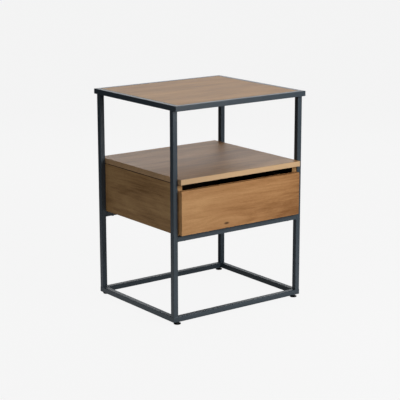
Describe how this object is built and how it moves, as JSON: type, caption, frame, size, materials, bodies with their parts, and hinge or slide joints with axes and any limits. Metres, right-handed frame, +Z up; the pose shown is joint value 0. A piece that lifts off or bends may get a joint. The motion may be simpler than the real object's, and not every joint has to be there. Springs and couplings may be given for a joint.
{
  "type": "side table with drawer",
  "caption": "Square-tube side table with an inset wooden top, an open shelf and a drawer between its legs, on levelling feet.",
  "frame": {"origin": "on the floor, at the middle of the table", "axes": "+Z up, +X to the table's right as seen from the drawer's front, +Y to the back; the drawer opens along -Y"},
  "size_m": [0.45, 0.4, 0.608],
  "materials": {
    "frame_coat": "matt powder coat, anthracite blue-grey",
    "oiled_oak": "satin lacquered veneer, brown oak tone",
    "oak_veneer_board": "satin lacquered veneer, brown oak tone",
    "drawer_board": "black-brown stain, matt lacquer",
    "drawer_plywood": "black-brown stain, matt lacquer",
    "beech": "raw",
    "soft_rubber": "matt",
    "black_screw": "black oxide",
    "pad_plastic": "matt",
    "stud_steel": "zinc plated",
    "ball_steel": "polished",
    "zinc_steel": "zinc plated"
  },
  "bodies": {
    "frame": {"back_panel": "oak_veneer_board", "base_rail_front": "frame_coat", "base_rail_left": "frame_coat", "base_rail_rear": "frame_coat", "base_rail_right": "frame_coat", "carcass_base_panel": "oak_veneer_board", "carcass_dowels": "beech", "carcass_screws": "black_screw", "carcass_washers": "soft_rubber", "cross_rail_front": "frame_coat", "cross_rail_rear": "frame_coat", "foot_nuts": "zinc_steel", "leg_front_left": "frame_coat", "leg_front_right": "frame_coat", "leg_rear_left": "frame_coat", "leg_rear_right": "frame_coat", "rim_rail_front": "frame_coat", "rim_rail_left": "frame_coat", "rim_rail_rear": "frame_coat", "rim_rail_right": "frame_coat", "runner_cabinet_left": "zinc_steel", "runner_cabinet_right": "zinc_steel", "runner_cabinet_screws_left": "zinc_steel", "runner_cabinet_screws_right": "zinc_steel", "shelf_board": "oiled_oak", "side_panel_left": "oiled_oak", "side_panel_right": "oiled_oak", "top_panel": "oiled_oak", "top_panel_screws": "zinc_steel", "top_panel_tabs": "frame_coat"},
    "drawer": {"drawer_back": "drawer_board", "drawer_bottom": "drawer_plywood", "drawer_bumpers": "soft_rubber", "drawer_corner_screws": "zinc_steel", "drawer_front": "oiled_oak", "drawer_front_screws": "zinc_steel", "drawer_inner_front": "drawer_board", "drawer_side_left": "drawer_board", "drawer_side_right": "drawer_board", "runner_drawer_left": "zinc_steel", "runner_drawer_right": "zinc_steel", "runner_drawer_screws_left": "zinc_steel", "runner_drawer_screws_right": "zinc_steel"},
    "cage_left": {"ball_cage_left": "zinc_steel", "balls_left": "ball_steel"},
    "cage_right": {"ball_cage_right": "zinc_steel", "balls_right": "ball_steel"},
    "foot_pad_front_left": {"foot_pad_front_left": "pad_plastic"},
    "foot_stud_front_left": {"foot_stud_front_left": "stud_steel"},
    "foot_pad_front_right": {"foot_pad_front_right": "pad_plastic"},
    "foot_stud_front_right": {"foot_stud_front_right": "stud_steel"},
    "foot_pad_rear_left": {"foot_pad_rear_left": "pad_plastic"},
    "foot_stud_rear_left": {"foot_stud_rear_left": "stud_steel"},
    "foot_pad_rear_right": {"foot_pad_rear_right": "pad_plastic"},
    "foot_stud_rear_right": {"foot_stud_rear_right": "stud_steel"}
  },
  "joints": [
    {"name": "drawer_slide", "type": "slide", "parent": "frame", "child": "drawer", "axis": [0, -1, 0], "range_m": [0, 0.225]},
    {"name": "cage_roll_left", "type": "slide", "parent": "frame", "child": "cage_left", "axis": [0, -1, 0], "range_m": [0, 0.1125]},
    {"name": "cage_roll_right", "type": "slide", "parent": "frame", "child": "cage_right", "axis": [0, -1, 0], "range_m": [0, 0.1125]},
    {"name": "foot_lift_front_left", "type": "slide", "parent": "frame", "child": "foot_pad_front_left", "axis": [0, 0, -1], "range_m": [-0.002, 0.006]},
    {"name": "foot_turn_front_left", "type": "hinge", "parent": "foot_pad_front_left", "child": "foot_stud_front_left", "pos_m": [-0.2088, -0.1785, 0.002], "axis": [0, 0, -1], "range_deg": [-720, 2160]},
    {"name": "foot_lift_front_right", "type": "slide", "parent": "frame", "child": "foot_pad_front_right", "axis": [0, 0, -1], "range_m": [-0.002, 0.006]},
    {"name": "foot_turn_front_right", "type": "hinge", "parent": "foot_pad_front_right", "child": "foot_stud_front_right", "pos_m": [0.2088, -0.1785, 0.002], "axis": [0, 0, -1], "range_deg": [-720, 2160]},
    {"name": "foot_lift_rear_left", "type": "slide", "parent": "frame", "child": "foot_pad_rear_left", "axis": [0, 0, -1], "range_m": [-0.002, 0.006]},
    {"name": "foot_turn_rear_left", "type": "hinge", "parent": "foot_pad_rear_left", "child": "foot_stud_rear_left", "pos_m": [-0.2088, 0.1785, 0.002], "axis": [0, 0, -1], "range_deg": [-720, 2160]},
    {"name": "foot_lift_rear_right", "type": "slide", "parent": "frame", "child": "foot_pad_rear_right", "axis": [0, 0, -1], "range_m": [-0.002, 0.006]},
    {"name": "foot_turn_rear_right", "type": "hinge", "parent": "foot_pad_rear_right", "child": "foot_stud_rear_right", "pos_m": [0.2088, 0.1785, 0.002], "axis": [0, 0, -1], "range_deg": [-720, 2160]}
  ],
  "couplings": [
    {"joint": "cage_roll_left", "follows": "drawer_slide", "ratio": 0.5},
    {"joint": "cage_roll_right", "follows": "drawer_slide", "ratio": 0.5},
    {"joint": "foot_turn_front_left", "follows": "foot_lift_front_left", "rad_per_m": 6283.2},
    {"joint": "foot_turn_front_right", "follows": "foot_lift_front_right", "rad_per_m": 6283.2},
    {"joint": "foot_turn_rear_left", "follows": "foot_lift_rear_left", "rad_per_m": 6283.2},
    {"joint": "foot_turn_rear_right", "follows": "foot_lift_rear_right", "rad_per_m": 6283.2}
  ]
}
